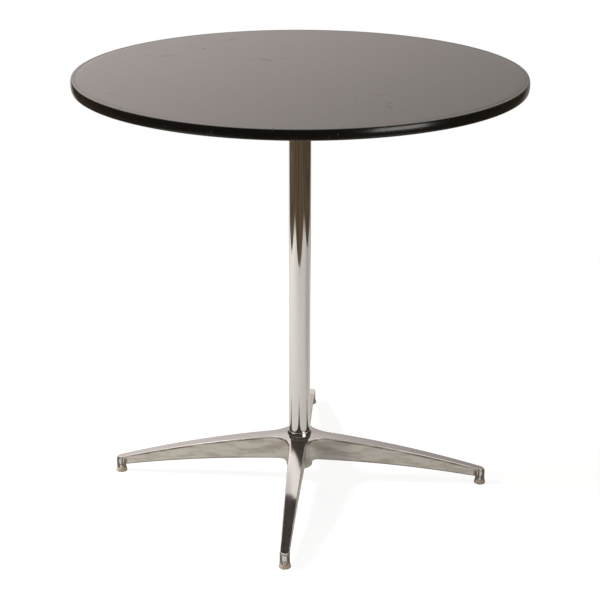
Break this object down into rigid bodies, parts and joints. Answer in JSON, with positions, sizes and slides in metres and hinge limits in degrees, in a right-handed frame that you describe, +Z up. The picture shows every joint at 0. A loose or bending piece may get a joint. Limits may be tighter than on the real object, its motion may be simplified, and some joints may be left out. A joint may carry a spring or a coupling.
{
  "type": "round cocktail table",
  "caption": "Round cocktail table: black laminate top with a crowned vinyl edge, chromed column screwed into a polished cast base with arched legs and levelling glides.",
  "frame": {"origin": "on the floor, under the middle of the column", "axes": "+Z up the column; the legs point along +X, +Y, -X and -Y, and -Y is the side nearest the picture's camera"},
  "size_m": [0.762, 0.762, 0.75],
  "materials": {
    "black_laminate": "black high-pressure laminate, satin gloss, finely scratched",
    "panel_core": "raw particleboard",
    "backing_sheet": "dark grey phenolic backing sheet, sanded",
    "black_vinyl": "extruded black vinyl, glossy",
    "sand_cast_aluminium": "as sand cast, fine grain",
    "polished_aluminium": "polished on top, satin on the side walls",
    "chrome_tube": "bright chrome plate",
    "plain_steel": "turned mild steel",
    "zinc_steel": "bright zinc plate",
    "nylon": "moulded natural nylon, yellowed"
  },
  "bodies": {
    "base": {"base_casting": "polished_aluminium"},
    "column": {"column_tube": "chrome_tube", "upper_end_plug": "plain_steel", "upper_stud": "zinc_steel", "lower_end_plug": "plain_steel", "lower_stud": "zinc_steel"},
    "top": {"top_laminate": "black_laminate", "top_core": "panel_core", "backing_laminate": "backing_sheet", "edge_moulding": "black_vinyl", "top_spider": "sand_cast_aluminium", "spider_screws": "zinc_steel"},
    "glide_right": {"glide_pad_right": "nylon"},
    "stem_right": {"glide_stem_right": "zinc_steel"},
    "glide_rear": {"glide_pad_rear": "nylon"},
    "stem_rear": {"glide_stem_rear": "zinc_steel"},
    "glide_left": {"glide_pad_left": "nylon"},
    "stem_left": {"glide_stem_left": "zinc_steel"},
    "glide_front": {"glide_pad_front": "nylon"},
    "stem_front": {"glide_stem_front": "zinc_steel"}
  },
  "joints": [
    {"name": "column_unscrew", "type": "hinge", "parent": "base", "child": "column", "pos_m": [0, 0, 0.084], "axis": [0, 0, 1], "range_deg": [0, 360]},
    {"name": "top_unscrew", "type": "hinge", "parent": "column", "child": "top", "pos_m": [0, 0, 0.7075], "axis": [0, 0, 1], "range_deg": [0, 360]},
    {"name": "glide_right_lower", "type": "slide", "parent": "base", "child": "glide_right", "axis": [0, 0, -1], "range_m": [0, 0.00801]},
    {"name": "stem_right_turn", "type": "hinge", "parent": "glide_right", "child": "stem_right", "pos_m": [0.329, 0, 0.005], "axis": [0, 0, -1], "range_deg": [0, 2304]},
    {"name": "glide_rear_lower", "type": "slide", "parent": "base", "child": "glide_rear", "axis": [0, 0, -1], "range_m": [0, 0.00801]},
    {"name": "stem_rear_turn", "type": "hinge", "parent": "glide_rear", "child": "stem_rear", "pos_m": [0, 0.329, 0.005], "axis": [0, 0, -1], "range_deg": [0, 2304]},
    {"name": "glide_left_lower", "type": "slide", "parent": "base", "child": "glide_left", "axis": [0, 0, -1], "range_m": [0, 0.00801]},
    {"name": "stem_left_turn", "type": "hinge", "parent": "glide_left", "child": "stem_left", "pos_m": [-0.329, 0, 0.005], "axis": [0, 0, -1], "range_deg": [0, 2304]},
    {"name": "glide_front_lower", "type": "slide", "parent": "base", "child": "glide_front", "axis": [0, 0, -1], "range_m": [0, 0.00801]},
    {"name": "stem_front_turn", "type": "hinge", "parent": "glide_front", "child": "stem_front", "pos_m": [0, -0.329, 0.005], "axis": [0, 0, -1], "range_deg": [0, 2304]}
  ],
  "couplings": [
    {"joint": "glide_right_lower", "follows": "stem_right_turn", "m_per_rad": 0.00019894},
    {"joint": "glide_rear_lower", "follows": "stem_rear_turn", "m_per_rad": 0.00019894},
    {"joint": "glide_left_lower", "follows": "stem_left_turn", "m_per_rad": 0.00019894},
    {"joint": "glide_front_lower", "follows": "stem_front_turn", "m_per_rad": 0.00019894}
  ]
}
